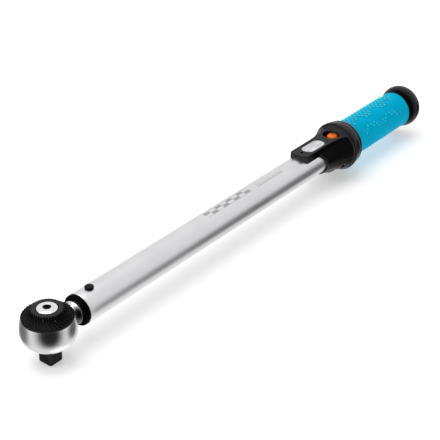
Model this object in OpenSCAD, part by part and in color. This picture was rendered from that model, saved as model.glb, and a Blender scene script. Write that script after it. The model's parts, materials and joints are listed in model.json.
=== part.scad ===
// Click-type torque wrench with a round ratchet head, a scale window and a turning grip.
// Origin: centre of the square drive's end face. +X runs along the tube to the grip, +Z is up.

/* [Square drive] */
// Across flats of the square drive
square_af = 12.7; // [9.5:0.1:19.1]
// Height of the tube's axis above the drive's end face
axis_z = 30; // [29:0.5:34]
// Distance across the square's turned corners, as a radius
square_corner_r = 8.9; // [6.5:0.1:13]

/* [Ratchet head] */
// Widest radius of the round head
head_r = 22.8; // [21:0.1:26]
// How far the round head reaches below the tube's axis before it is cut flat
head_drop = 15.6; // [14:0.1:16]
// Radius of the ratchet cavity
cavity_r = 15.5; // [14.5:0.1:16]
// Number of teeth on the ratchet gear
gear_teeth = 36; // [24:2:72]
// Tip radius of the ratchet gear
gear_tip_r = 10.6; // [10:0.1:11]

/* [Direction dial] */
// Radius of the dial's rim
dial_r = 20.8; // [19:0.1:21]
// Radius of the dial's flat top
dial_top_r = 13.3; // [11:0.1:15]
// Number of serrations round the dial's rim
dial_ribs = 40; // [24:2:72]
// Radius of the bright cap on the dial
cap_r = 8.3; // [7:0.1:9]

/* [Tube] */
// Outer diameter of the tube
tube_od = 27.2; // [26:0.1:30]
// Wall thickness of the tube
tube_wall = 2; // [1.6:0.1:2.4]
// Where the tube starts
tube_x0 = 33; // [31:0.5:36]
// Where the tube ends, inside the grip
tube_x1 = 478; // [470:1:482]
// Where the head's pivot pin crosses the tube
pivot_x = 45.7; // [44:0.1:50]
// Radius of the pivot pin
pivot_r = 3.8; // [3.5:0.1:4.2]

/* [Window housing] */
// Height of the housing's flat top above the tube's axis
plate_z = 17; // [16.5:0.1:19]
// Half width of the flat top at the window
plate_half_w = 9.8; // [9:0.1:11]
// Front end of the housing
housing_x0 = 326; // [325:0.5:330]
// Rear end of the housing
housing_x1 = 391.8; // [391:0.1:392]
// Half width of the scale window
window_half_w = 6.1; // [5.8:0.1:6.6]
// Place of the lock button along the tube
button_x = 385.5; // [384:0.1:386.5]
// Radius of the lock button
button_r = 5.2; // [4.8:0.1:5.2]

/* [Grip] */
// Outer radius of the front ring's rim
ring_r = 24.5; // [23.5:0.1:26]
// Outer radius of the soft sleeve
grip_r = 18.5; // [18:0.1:20]
// Where the soft sleeve starts
grip_x0 = 409; // [408:0.5:412]
// Where the soft sleeve ends
grip_x1 = 501; // [496:0.5:502]
// Largest radius of the end cap
end_r = 21.5; // [20:0.1:23]
// How far the adjusting nut travels
nut_travel = 24; // [10:1:24]

/* [Hidden] */
$fn = 64;
eps = 0.01;
far = 400;
tube_r = tube_od / 2;
bore_r = tube_r - tube_wall;
run_gap = 0.08;
turn_gap = 0.06;
free_gap = 0.3;

// Head, gear and dial
head_sink = 17.2;
head_rise = 26;
head_power = 2.15;
head_steps = 24;
head_top_z = 10.4;
neck_r = 10;
neck_x1 = 28;
tail_r = 8.6;
tail_step_x = 60;
tail_end_r = 8;
tail_x1 = 110;
cavity_z = -9.2;
spindle_hole_r = 9.25;
groove_z = 8.6;
groove_h = 1;
gear_z0 = -8;
gear_z1 = 6.2;
gear_tooth_h = 1.2;
journal_r = 5.9;
journal_z1 = 18.05;
cap_screw_r = 2.5;
ball_z = -24;
dial_z0 = 10.7;
dial_rim_z = 12.7;
dial_z1 = 19.2;
dial_hollow = 0.6;
dial_well_z = 17.7;
pawl_in_r = 11.6;
pawl_out_r = 14.6;
pawl_pin_r = 0.9;
pawl_pin_x = 13.35;
pawl_tilt = -4;
pawl_half_angle = 32;
detent_r = 1.2;
detent_x = -18.3;
detent_z = 10.2;

// Click mechanism
block_x0 = 110.95;
block_len = 9;
block_w = 8;
block_nose_r = 0.65;
plunger_x0 = 120.9;
plunger_x1 = 139;
plunger_bore_r = 6;
nut_x0 = 354;
nut_x1 = 370;
screw_r = 5;
spring_r = 9.2;
spring_wire = 1.9;
spring_turns = 22;
index_x1 = 369.4;
index_y0 = 4.95;
index_y1 = 5.65;
index_z = 14.6;
arm_slot_x0 = index_x1 - 12 - nut_travel;
arm_slot_x1 = index_x1 + 1.2;

// Window housing
front_arc_r = 24;
plate_widens_x = 364;
plate_rear_x = 390;
plate_rear_half_w = 12.4;
skirt_x0 = 354;
skirt_r0 = 15.2;
skirt_growth = 8.4;
skirt_steps = 12;
tongue_x0 = 359;
tongue_slope = 7;
tongue_x1 = 376;
tongue_r0 = 15;
tongue_r = 17;
tongue_half_w = 9;
split_z = -3;
window_x0 = 338.5;
window_x1 = 367.5;
lens_z = 15.1;
lens_h = 1.5;
scale_lap = 3;
scale_z0 = 13.65;
scale_z1 = 14.1;
scale_y0 = -7.5;
scale_y1 = 4.7;
cover_screw_x = 334.4;
cover_screw_r = 0.6;
shell_screw_x = 383;
shell_screw_y = 16.2;
shell_screw_r = 1.2;
shell_head_r = 2;
shell_head_z = -8;
pocket_x0 = 374.4;
pocket_x1 = 391;
pocket_half_w = 8.2;
pocket_z = 12.4;
well_x0 = 373.5;
well_half_w = 8.8;
well_z = 10.2;
stem_r = 1.6;
button_z0 = 11.3;
button_rim_z = 13.4;
button_rise = 3.2;
seat_z = 8.2;
seat_h = 0.6;
seat_r = 7;

// Grip
bush_x0 = 394;
bush_x1 = 404;
washer_r = 9.5;
washer_h = 1.2;
ring_x0 = 392.4;
ring_x1 = 407;
core_r = 16.3;
core_x1 = 505;
flange_r = 9;
plug_x0 = 485;
plug_x1 = 497;
end_screw_r = 3;
end_x1 = 521;
cap_flare_len = 12;
cap_start_r = 18.7;
cap_lip_drop = 5;
lock_ring_x0 = 380;
lock_ring_x1 = 391;
lock_ring_r = 6.8;
lock_notches = 6;
notch_w = 3.7;

// ---- helpers ----

// Moves children from the tube-axis frame to the part's frame
module on_axis() translate([0, 0, axis_z]) children();

// Turned body about the tube's axis, from a list of [x, radius]
module turned(profile)
    on_axis() rotate([0, 90, 0]) rotate_extrude() polygon([for (p = profile) [p[1], p[0]]]);

// Plain rod along the tube's axis
module rod(x0, x1, r)
    on_axis() translate([x0, 0, 0]) rotate([0, 90, 0]) cylinder(h = x1 - x0, r = r);

// Plain sleeve along the tube's axis
module sleeve(x0, x1, outer, inner)
    difference() {
        rod(x0, x1, outer);
        rod(x0 - 1, x1 + 1, inner);
    }

// Upright rod at a point beside the tube's axis, between two heights above the axis
module post(x, y, z0, z1, r)
    on_axis() translate([x, y, z0]) cylinder(h = z1 - z0, r = r);

// Box given by its two corners, heights counted from the tube's axis
module block(low, high)
    on_axis() translate(low) cube(high - low);

// Outline of a slot along X with round ends
module slot_outline(x0, x1, half_w)
    union() {
        translate([x0 + half_w, -half_w]) square([x1 - x0 - 2 * half_w, 2 * half_w]);
        translate([x0 + half_w, 0]) circle(r = half_w);
        translate([x1 - half_w, 0]) circle(r = half_w);
    }

// Closed coil of round wire about Z, from z = 0 up
function coil_ring(a, r, wire, rise, sides) =
    [for (s = [0:sides - 1])
        let (t = 360 * s / sides, d = r + wire * cos(t))
        [d * cos(a), d * sin(a), rise * a / 360 + wire * sin(t)]];

module coil(r, wire, length, turns, steps = 12, sides = 6) {
    rise = (length - 2 * wire) / turns;
    rings = turns * steps;
    points = [for (i = [0:rings]) each coil_ring(360 * i / steps, r, wire, rise, sides)];
    walls = [for (i = [0:rings - 1], s = [0:sides - 1])
        let (n = (s + 1) % sides, a = i * sides, b = a + sides)
        each [[a + s, a + n, b + n], [a + s, b + n, b + s]]];
    ends = [[for (s = [sides - 1:-1:0]) s], [for (s = [0:sides - 1]) rings * sides + s]];
    translate([0, 0, wire]) polyhedron(points = points, faces = concat(walls, ends));
}

// ---- tube and what is fixed to it ----

// Flat-bottomed gap in the tube's crown that the button's floor drops into
module button_well(gap)
    block([well_x0 + gap, -well_half_w + gap, well_z + gap],
        [housing_x1 - gap, well_half_w - gap, 20]);

module outer_tube()
    color("silver") difference() {
        sleeve(tube_x0, tube_x1, tube_r, bore_r);
        post(pivot_x, 0, -20, 20, pivot_r);
        block([arm_slot_x0, index_y0 - 0.35, 0], [arm_slot_x1, index_y1 + 0.35, 20]);
        button_well(0);
    }

module front_collar()
    color("dimgray") turned([[30.2, 10.9], [30.2, 12.7], [30.8, 13.3], [33, 13.4],
        [33, 11.55], [38, 11.55], [38, 10.9]]);

module pivot_pin()
    color("black") {
        post(pivot_x, 0, -tube_r + 0.3, 15, pivot_r);
        post(pivot_x, 0, 15, 15.4, pivot_r - 0.25);
        post(pivot_x, 0, 15.4, 15.6, pivot_r - 0.7);
    }

module main_spring()
    color("slategray") on_axis() translate([plunger_x1 + 0.2, 0, 0]) rotate([0, 90, 0])
        coil(spring_r, spring_wire, nut_x0 - plunger_x1 - 0.4, spring_turns);

// Outline of the housing's flat top: narrow at the window, wider at the button
module plate_outline()
    union() {
        intersection() {
            translate([housing_x0, -plate_half_w])
                square([housing_x1 - housing_x0, 2 * plate_half_w]);
            translate([housing_x0 + front_arc_r, 0]) circle(r = front_arc_r);
        }
        translate([housing_x0 + front_arc_r, -plate_half_w])
            square([housing_x1 - housing_x0 - front_arc_r, 2 * plate_half_w]);
        polygon([[plate_widens_x, -plate_half_w], [plate_rear_x, -plate_rear_half_w],
            [housing_x1, -plate_rear_half_w], [housing_x1, plate_rear_half_w],
            [plate_rear_x, plate_rear_half_w], [plate_widens_x, plate_half_w]]);
    }

// Flaring skirt that wraps the tube behind the window
function skirt_point(t) =
    [skirt_x0 + (housing_x1 - skirt_x0) * t, skirt_r0 + skirt_growth * pow(t, 1.7)];
module skirt()
    turned(concat([[skirt_x0, 10]], [for (i = [0:skirt_steps]) skirt_point(i / skirt_steps)],
        [[housing_x1, 10]]));

module housing_solid()
    union() {
        intersection() {
            skirt();
            block([0, -40, -40], [far, 40, plate_z]);
        }
        on_axis() translate([0, 0, 2]) linear_extrude(plate_z - 2) plate_outline();
        intersection() {
            turned([[tongue_x0, 10], [tongue_x0, tongue_r0], [tongue_x0 + tongue_slope, tongue_r],
                [tongue_x1, tongue_r], [tongue_x1, 10]]);
            block([tongue_x0, -tongue_half_w, -20], [tongue_x1, tongue_half_w, -8]);
        }
    }

// Everything that is cut out of both housing shells
module housing_cuts() {
    difference() {
        rod(0, far, tube_r);
        button_well(0.2);
    }
    for (y = [-shell_screw_y, shell_screw_y]) {
        post(shell_screw_x, y, shell_head_z + 1, 2, shell_screw_r);
        post(shell_screw_x, y, -30, shell_head_z, shell_head_r + 0.1);
    }
}

module upper_housing()
    color("#2a2a2c") difference() {
        intersection() {
            housing_solid();
            block([0, -40, split_z], [far, 40, 40]);
        }
        housing_cuts();
        on_axis() translate([0, 0, lens_z]) linear_extrude(5)
            slot_outline(window_x0, window_x1, window_half_w);
        block([window_x0, -window_half_w + 0.3, scale_z1],
            [index_x1 + 0.6, window_half_w - 0.3, lens_z + eps]);
        block([window_x0 - scale_lap, scale_y0, 10],
            [window_x1 + scale_lap, scale_y1, scale_z1 + eps]);
        block([arm_slot_x0, index_y0 - 0.45, 10], [arm_slot_x1, index_y1 + 0.45, index_z + 0.3]);
        on_axis() translate([0, 0, pocket_z]) linear_extrude(9)
            slot_outline(pocket_x0, pocket_x1, pocket_half_w);
        post(button_x, 0, 5, 14, button_r + free_gap);
        post(cover_screw_x, 0, 15.4, 20, cover_screw_r + 0.5);
        post(cover_screw_x, 0, 13, 20, cover_screw_r);
    }

module lower_housing()
    color("#242426") difference() {
        intersection() {
            housing_solid();
            block([0, -40, -40], [far, 40, split_z - 0.02]);
        }
        housing_cuts();
        for (y = [-shell_screw_y, shell_screw_y])
            post(shell_screw_x, y, -20, 0, shell_screw_r + free_gap);
    }

module window_lens()
    color("lightcyan", 0.4) on_axis() translate([0, 0, lens_z]) linear_extrude(lens_h)
        slot_outline(window_x0, window_x1, window_half_w);

module scale_plate()
    color("gainsboro") block([window_x0 - scale_lap, scale_y0, scale_z0],
        [window_x1 + scale_lap, scale_y1, scale_z1]);

module cover_screw()
    color("gray") post(cover_screw_x, 0, scale_z0, 15.6, cover_screw_r);

// Two sunk screws that pull the lower shell up to the upper shell
module shell_screws()
    color("gray") for (y = [-shell_screw_y, shell_screw_y]) {
        post(shell_screw_x, y, shell_head_z, 2, shell_screw_r);
        post(shell_screw_x, y, shell_head_z - 2, shell_head_z, shell_head_r);
    }

module button_seat()
    color("gray") difference() {
        post(button_x, 0, seat_z, seat_z + seat_h, seat_r);
        post(button_x, 0, seat_z - 1, seat_z + 1, stem_r + 0.4);
    }

module thrust_bush()
    color("goldenrod") sleeve(bush_x0, bush_x1, bore_r, screw_r + turn_gap);

module thrust_washers()
    color("silver") {
        for (x = [bush_x0 - washer_h - 0.1, bush_x1 + 0.1])
            sleeve(x, x + washer_h, washer_r, screw_r + turn_gap);
    }

// ---- ratchet head ----

// Radius of the round head at a height above the tube's axis
function head_radius(z) = z < 0
    ? head_r * pow(1 - pow(-z / head_sink, head_power), 1 / head_power)
    : head_r * sqrt(1 - pow(z / head_rise, 2));
head_profile = concat([[0, -head_drop]],
    [for (i = [0:head_steps])
        let (z = -head_drop + i * (head_top_z + head_drop) / head_steps)
        [head_radius(z), z]],
    [[0, head_top_z]]);

module ratchet_head()
    color("silver") difference() {
        union() {
            on_axis() rotate_extrude() polygon(head_profile);
            rod(10, neck_x1, neck_r);
            rod(neck_x1, tail_step_x, tail_r);
            rod(tail_step_x, tail_x1, tail_end_r);
        }
        post(0, 0, cavity_z, 20, cavity_r);
        post(0, 0, -20, 0, spindle_hole_r);
        post(0, 0, groove_z, groove_z + groove_h, cavity_r + 0.7);
        post(pivot_x, 0, -20, 20, pivot_r + 0.05);
        post(detent_x, 0, 2.4, 20, detent_r + 0.1);
    }

module cover_plate()
    color("gray") difference() {
        post(0, 0, 6.6, 8.4, cavity_r - 0.02);
        post(0, 0, 6, 9, journal_r + run_gap);
        post(pawl_pin_x, 0, 6, 9, pawl_pin_r);
    }

module retaining_ring()
    color("dimgray") difference() {
        post(0, 0, groove_z + 0.1, groove_z + groove_h - 0.1, cavity_r + 0.6);
        post(0, 0, 8, 10, 13.6);
        block([-20, -3, 8], [-10, 3, 10]);
    }

module gear_washer()
    color("goldenrod") difference() {
        post(0, 0, cavity_z + 0.05, gear_z0 - 0.1, cavity_r - 0.2);
        post(0, 0, -10, -7, spindle_hole_r + 0.03);
    }

module pawl_pin()
    color("silver") post(pawl_pin_x, 0, gear_z0, 8.3, pawl_pin_r);

module detent_ball()
    color("silver") on_axis() translate([detent_x, 0, detent_z]) sphere(r = detent_r);

module detent_spring()
    color("slategray") on_axis() translate([detent_x, 0, 2.6])
        coil(0.85, 0.22, 6.2, 6, 10, 5);

// Outline of the ratchet gear
function gear_point(i) =
    let (r = i % 2 == 0 ? gear_tip_r : gear_tip_r - gear_tooth_h, a = 180 * i / gear_teeth)
    [r * cos(a), r * sin(a)];

module drive_spindle()
    color("#303032") difference() {
        union() {
            intersection() {
                on_axis() translate([-square_af / 2, -square_af / 2, -axis_z])
                    cube([square_af, square_af, axis_z - 16]);
                rotate_extrude() polygon([[0, 0], [square_corner_r - 0.7, 0], [square_corner_r, 0.8],
                    [square_corner_r, 30], [0, 30]]);
            }
            post(0, 0, -16.3, gear_z0 + eps, spindle_hole_r - 0.05);
            on_axis() translate([0, 0, gear_z0]) linear_extrude(gear_z1 - gear_z0)
                polygon([for (i = [0:2 * gear_teeth - 1]) gear_point(i)]);
            post(0, 0, gear_z1 - eps, journal_z1, journal_r);
        }
        post(0, 0, 6, 20, cap_screw_r);
        on_axis() translate([-2, 0, ball_z]) rotate([0, 90, 0]) cylinder(h = 10, r = 2.05);
    }

module cap_screw()
    color("gainsboro") difference() {
        union() {
            on_axis() rotate_extrude() polygon(concat([[0, journal_z1], [cap_r - 0.5, journal_z1],
                [cap_r, 18.5]], [for (i = [0:6]) let (r = cap_r * (6 - i) / 6)
                [r, 20.6 - 1.2 * pow(r / cap_r, 2)]]));
            post(0, 0, 9, journal_z1 + eps, cap_screw_r);
        }
        post(0, 0, 17.6, 21, cap_screw_r - 0.3);
        for (a = [0:60:300])
            on_axis() rotate([0, 0, a]) translate([2.3, 0, 18.8]) cylinder(h = 3, r = 0.9);
    }

module socket_ball()
    color("silver") on_axis() translate([4.9, 0, ball_z]) sphere(r = 2);

module socket_spring()
    color("slategray") on_axis() translate([-1.9, 0, ball_z]) rotate([0, 90, 0])
        coil(1.3, 0.3, 4.7, 4, 10, 5);

// Side of the dial: steep under its flat top, then flatter out to the rim
dial_side = [for (i = [8:-1:0]) let (t = i / 8) [dial_top_r + (dial_r - dial_top_r) * t,
    dial_z1 + (dial_rim_z - dial_z1) * pow(t, dial_hollow)]];
module direction_dial()
    color("#202022") difference() {
        intersection() {
            on_axis() rotate_extrude() polygon(concat([[0, dial_z0], [dial_r, dial_z0]], dial_side,
                [[0, dial_z1]]));
            linear_extrude(60) polygon([for (i = [0:4 * dial_ribs - 1])
                let (r = i % 4 < 2 ? dial_r : dial_r - 0.5, a = 90 * i / dial_ribs)
                [r * cos(a), r * sin(a)]]);
        }
        post(0, 0, dial_well_z, 30, cap_r + 0.7);
        post(0, 0, 0, 30, journal_r + run_gap);
        on_axis() rotate_extrude() translate([16.9, 10]) square([2.8, 1.9]);
    }

// Rocking pawl with a toothed end on each side of its pin
module pawl()
    color("dimgray") on_axis() translate([pawl_pin_x, 0, 0]) rotate([0, 0, pawl_tilt])
        translate([-pawl_pin_x, 0, -7]) difference() {
            linear_extrude(12.5) difference() {
                intersection() {
                    circle(r = pawl_out_r);
                    polygon([[0, 0], [30 * cos(pawl_half_angle), -30 * sin(pawl_half_angle)],
                        [30 * cos(pawl_half_angle), 30 * sin(pawl_half_angle)]]);
                }
                polygon([for (i = [0:2 * gear_teeth - 1])
                    let (r = pawl_in_r + (i % 2) * 0.6, a = 180 * i / gear_teeth)
                    [r * cos(a), r * sin(a)]]);
            }
            translate([pawl_pin_x, 0, -1]) cylinder(h = 20, r = pawl_pin_r + turn_gap);
        }

// ---- click mechanism ----

module plunger()
    color("gray") difference() {
        rod(plunger_x0, plunger_x1, bore_r - run_gap);
        rod(plunger_x0 + 5, plunger_x1 + 1, plunger_bore_r);
    }

// Block that tips about the round nose on its rear face
module tilting_block()
    color("silver") union() {
        block([block_x0, -block_w / 2, -block_w / 2],
            [block_x0 + block_len, block_w / 2, block_w / 2]);
        post(block_x0 + block_len, 0, -block_w / 2, block_w / 2, block_nose_r);
    }

module adjusting_nut()
    color("goldenrod") difference() {
        rod(nut_x0, nut_x1, bore_r - run_gap);
        rod(nut_x0 - 1, nut_x1 + 1, screw_r + turn_gap);
        block([index_x1 - 10.6, index_y0 - 0.05, 8], [index_x1 + 0.1, index_y1 + 0.05, 20]);
    }

// Arm that carries the index line from the nut up into the window
module index_arm()
    color("darkred") union() {
        block([index_x1 - 10.5, index_y0, 8.05], [index_x1, index_y1, index_z]);
        block([index_x1 - 1.6, -4.9, index_z - 0.35], [index_x1, index_y0 + eps, index_z]);
    }

// ---- lock ----

button_dome = [for (a = [0:15:90])
    [button_r * cos(a), button_rim_z + button_rise * sin(a)]];
module lock_button()
    color("#f06a12") difference() {
        union() {
            on_axis() translate([button_x, 0, 0]) rotate_extrude() polygon(
                concat([[0, button_z0], [button_r, button_z0]], button_dome));
            post(button_x, 0, 7.3, 12, stem_r);
        }
        difference() {
            post(button_x, 0, button_z0 - eps, 12.8, 4);
            post(button_x, 0, 10, 13, stem_r);
        }
    }

module lock_spring()
    color("slategray") on_axis() translate([button_x, 0, seat_z + seat_h + 0.05])
        coil(2.9, 0.35, 3.9, 4, 12, 5);

module lock_ring()
    color("gray") difference() {
        sleeve(lock_ring_x0, lock_ring_x1, lock_ring_r, screw_r);
        for (i = [0:lock_notches - 1])
            on_axis() rotate([360 * i / lock_notches, 0, 0])
                translate([lock_ring_x0 - 1, -notch_w / 2, screw_r + 0.1])
                    cube([lock_ring_x1 - lock_ring_x0 + 2, notch_w, 5]);
    }

// ---- grip ----

module adjusting_screw()
    color("silver") union() {
        rod(nut_x0 - nut_travel - 2, plug_x0, screw_r);
        rod(405.5, grip_x0, flange_r);
    }

module handle_core()
    color("#2a2a2c") sleeve(ring_x1, core_x1, core_r, tube_r + free_gap);

module front_ring()
    color("#39393b") turned([[ring_x0, tube_r + free_gap], [ring_x0, ring_r - 0.8],
        [ring_x0 + 0.8, ring_r], [402, 23.2], [402.4, 22.7], [403.2, 22.7], [403.6, 23],
        [405.6, 22.6], [ring_x1, 21.4], [ring_x1, tube_r + free_gap]]);

module grip_sleeve()
    color("#00a5cd") sleeve(grip_x0, grip_x1, grip_r, core_r);

// End cap that closes the grip: a short hollow flare, then a wide rounded lip
cap_flare = [for (i = [0:12]) let (t = i / 12) [grip_x1 + cap_flare_len * t,
    cap_start_r + (end_r - cap_start_r) * (1 - cos(180 * pow(t, 1.2))) / 2]];
cap_round = [for (a = [10:10:90]) [grip_x1 + cap_flare_len
    + (end_x1 - grip_x1 - cap_flare_len) * sin(a), end_r - cap_lip_drop * (1 - pow(cos(a), 0.85))]];
module end_cap()
    color("#262628") turned(concat([[core_x1 + 2, 0], [core_x1 + 2, core_r], [grip_x1, core_r]],
        cap_flare, cap_round, [[end_x1, 12], [end_x1 - 1, 11], [end_x1 - 1, 0]]));

module end_plug()
    color("gray") difference() {
        rod(plug_x0, plug_x1, tube_r + free_gap);
        rod(plug_x0 - 1, plug_x1 + 1, end_screw_r);
    }

module end_screw()
    color("silver") union() {
        rod(plug_x0 + 0.05, plug_x1, end_screw_r);
        rod(plug_x1, plug_x1 + 4, 2 * end_screw_r);
    }

// ---- what is drawn ----

outer_tube();
front_collar();
pivot_pin();
main_spring();
upper_housing();
lower_housing();
window_lens();
scale_plate();
cover_screw();
shell_screws();
button_seat();
thrust_bush();
thrust_washers();
ratchet_head();
cover_plate();
retaining_ring();
gear_washer();
pawl_pin();
detent_ball();
detent_spring();
drive_spindle();
cap_screw();
socket_ball();
socket_spring();
direction_dial();
pawl();
plunger();
tilting_block();
adjusting_nut();
index_arm();
lock_button();
lock_spring();
adjusting_screw();
lock_ring();
handle_core();
front_ring();
grip_sleeve();
end_cap();
end_plug();
end_screw();
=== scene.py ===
"""Looks of a click-type torque wrench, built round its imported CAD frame.

Shapes are written in millimetres with heights counted from the tube's axis. make() turns them into metres.
"""
import json
from math import asin, cos, hypot, pi, radians, sin, sqrt, tan, tau

import bmesh
import bpy
from mathutils import Matrix, Vector


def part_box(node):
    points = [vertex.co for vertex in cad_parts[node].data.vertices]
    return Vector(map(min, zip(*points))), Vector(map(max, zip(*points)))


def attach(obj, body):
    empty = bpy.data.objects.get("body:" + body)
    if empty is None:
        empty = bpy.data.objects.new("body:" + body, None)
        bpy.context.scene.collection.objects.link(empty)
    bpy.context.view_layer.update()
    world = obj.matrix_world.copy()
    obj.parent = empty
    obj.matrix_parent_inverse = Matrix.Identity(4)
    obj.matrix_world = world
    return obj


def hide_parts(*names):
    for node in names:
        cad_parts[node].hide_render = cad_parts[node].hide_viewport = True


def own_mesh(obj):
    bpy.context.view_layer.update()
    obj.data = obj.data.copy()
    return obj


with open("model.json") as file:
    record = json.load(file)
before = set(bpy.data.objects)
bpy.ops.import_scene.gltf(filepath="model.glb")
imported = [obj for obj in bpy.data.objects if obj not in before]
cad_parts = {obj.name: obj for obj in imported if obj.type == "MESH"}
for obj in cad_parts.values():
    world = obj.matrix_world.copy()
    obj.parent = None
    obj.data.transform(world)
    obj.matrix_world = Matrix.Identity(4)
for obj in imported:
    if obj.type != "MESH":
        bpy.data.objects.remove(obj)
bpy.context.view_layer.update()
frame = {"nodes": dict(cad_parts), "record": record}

MM = 0.001
OUTSIDE = 20              # a height that is clear of the head and the tube


def span(node, axis):
    """Lowest and highest place of a CAD node along one axis, in millimetres."""
    low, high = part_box(node)
    i = "xyz".index(axis)
    return low[i] / MM, high[i] / MM


def radius_of(node):
    """Half of a CAD node's width, in millimetres."""
    low, high = span(node, "y")
    return (high - low) / 2


AXIS = sum(span("adjusting_screw", "z")) / 2


def height_of(node):
    """Lowest and highest place of a CAD node above the tube's axis, in millimetres."""
    low, high = span(node, "z")
    return low - AXIS, high - AXIS


# ---- mesh tools ----


def skin(rings, loop=False):
    """Points, and faces that join each ring of points to the next. A ring of one point is a pole."""
    points = [p for ring in rings for p in ring]
    starts = [sum(len(r) for r in rings[:i]) for i in range(len(rings))]
    pairs = [(i, i + 1) for i in range(len(rings) - 1)] + ([(len(rings) - 1, 0)] if loop else [])
    faces = []
    for a, b in pairs:
        count = max(len(rings[a]), len(rings[b]))
        for i in range(count):
            corners = [starts[r] + k % len(rings[r]) for r, k in ((a, i), (a, i + 1), (b, i + 1), (b, i))]
            faces.append(list(dict.fromkeys(corners)))
    return points, faces


def soften(corners, steps=4):
    """Closed outline whose corners are rounded. A corner is (a, b, radius)."""
    outline = []
    for i, (a, b, radius) in enumerate(corners):
        here = Vector((a, b))
        if not radius:
            outline.append((a, b))
            continue
        before = (Vector(corners[i - 1][:2]) - here).normalized()
        after = (Vector(corners[(i + 1) % len(corners)][:2]) - here).normalized()
        half = before.angle(after) / 2
        centre = here + (before + after).normalized() * radius / sin(half)
        first = (here + before * radius / tan(half) - centre).normalized()
        last = (here + after * radius / tan(half) - centre).normalized()
        for k in range(steps + 1):
            p = centre + first.slerp(last, k / steps) * radius
            outline.append((p.x, p.y))
    return outline


def around_x(x, r, segments):
    """Ring of points about the tube's axis, or a pole."""
    if r == 0:
        return [(x, 0, 0)]
    turns = [tau * i / segments for i in range(segments)]
    return [(x, r * sin(t), r * cos(t)) for t in turns]


def around_z(r, z, segments, x=0):
    """Ring of points about an upright axis at x, or a pole."""
    if r == 0:
        return [(x, 0, z)]
    turns = [tau * i / segments for i in range(segments)]
    return [(x + r * cos(t), r * sin(t), z) for t in turns]


def turned(profile, segments=160, loop=False):
    """Body turned about the tube's axis, from (x, radius) points."""
    return skin([around_x(x, r, segments) for x, r in profile], loop)


def upright(profile, x=0, segments=96, loop=False):
    """Body turned about an upright axis, from (radius, height) points."""
    return skin([around_z(r, z, segments, x) for r, z in profile], loop)


def drill(r, low, x, segments=48):
    """Upright round bit for a hole that opens upwards."""
    return upright([(0, low), (r, low), (r, OUTSIDE), (0, OUTSIDE)], x, segments)


def prism(outline, low, high, edge=0.0, steps=3):
    """Upright prism of a closed outline, its top edge rounded by edge."""
    rings = [[(x, y, low) for x, y in outline], [(x, y, high - edge) for x, y in outline]]
    for k in range(1, steps + 1 if edge else 1):
        turn = pi / 2 * k / steps
        rings.append([(x, y, high - edge + edge * sin(turn))
                      for x, y in inset(outline, edge * (1 - cos(turn)))])
    points, faces = skin(rings)
    faces.append(list(range(len(outline))))
    faces.append(list(range(len(points) - len(outline), len(points))))
    return points, faces


def inset(outline, gap):
    """A closed outline moved inwards by gap. The outline runs counter-clockwise."""
    moved = []
    for i, here in enumerate(outline):
        a, b = Vector(outline[i - 1]), Vector(outline[(i + 1) % len(outline)])
        here = Vector(here)
        sides = [(here - a).normalized(), (b - here).normalized()]
        normals = [Vector((-s.y, s.x)) for s in sides]
        middle = (normals[0] + normals[1]).normalized()
        p = here + middle * gap / max(0.3, middle.dot(normals[0]))
        moved.append((p.x, p.y))
    return moved


def slot_outline(x0, x1, half, steps=16):
    """Outline of a slot along X with round ends, counter-clockwise."""
    outline = []
    for centre, start in ((x1 - half, -pi / 2), (x0 + half, pi / 2)):
        for k in range(steps + 1):
            turn = start + pi * k / steps
            outline.append((centre + half * cos(turn), half * sin(turn)))
    return outline


def joined(*shapes):
    """Several shapes as one list of points and faces."""
    points, faces = [], []
    for more_points, more_faces in shapes:
        faces += [[i + len(points) for i in face] for face in more_faces]
        points += more_points
    return points, faces


def show(obj):
    """Puts an object in the scene."""
    bpy.context.scene.collection.objects.link(obj)


def make(name, shape):
    """A mesh object of a shape, with its faces turned outwards."""
    points, faces = shape
    mesh = bpy.data.meshes.new(name)
    mesh.from_pydata([(x * MM, y * MM, (z + AXIS) * MM) for x, y, z in points], [], faces)
    work = bmesh.new()
    work.from_mesh(mesh)
    bmesh.ops.recalc_face_normals(work, faces=work.faces)
    work.to_mesh(mesh)
    work.free()
    obj = bpy.data.objects.new(name, mesh)
    show(obj)
    return obj


def bake(obj):
    """Applies an object's modifiers."""
    graph = bpy.context.evaluated_depsgraph_get()
    mesh = bpy.data.meshes.new_from_object(obj.evaluated_get(graph))
    obj.modifiers.clear()
    obj.data = mesh


def triangulate(obj):
    """Splits an object's faces into triangles, which booleans need to stay closed."""
    work = bmesh.new()
    work.from_mesh(obj.data)
    bmesh.ops.triangulate(work, faces=work.faces)
    work.to_mesh(obj.data)
    work.free()


def combine(obj, operation, *shapes):
    """Adds shapes to an object or cuts them from it, one after the other."""
    for shape in shapes:
        triangulate(obj)
        tool = make("tool", shape)
        triangulate(tool)
        step = obj.modifiers.new("step", "BOOLEAN")
        step.operation = operation
        step.solver = "EXACT"
        step.object = tool
        bake(obj)
        bpy.data.objects.remove(tool)


def finish(obj, body, slot, *replaced, crease=30, look=None):
    """Smooth shading with creases, the slot's look or another, the body it rides on and what it replaces."""
    mesh = obj.data
    mesh.name = obj.name
    mesh.polygons.foreach_set("use_smooth", [True] * len(mesh.polygons))
    mesh.set_sharp_from_angle(angle=radians(crease))
    mesh.materials.clear()
    mesh.materials.append(look or LOOKS[slot])
    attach(obj, body)
    if replaced:
        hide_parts(*replaced)
    return obj


def smooth(a, b, value):
    """0 up to a, 1 from b, and a soft step between them."""
    t = min(1, max(0, (value - a) / (b - a)))
    return t * t * (3 - 2 * t)


# ---- materials ----


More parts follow.
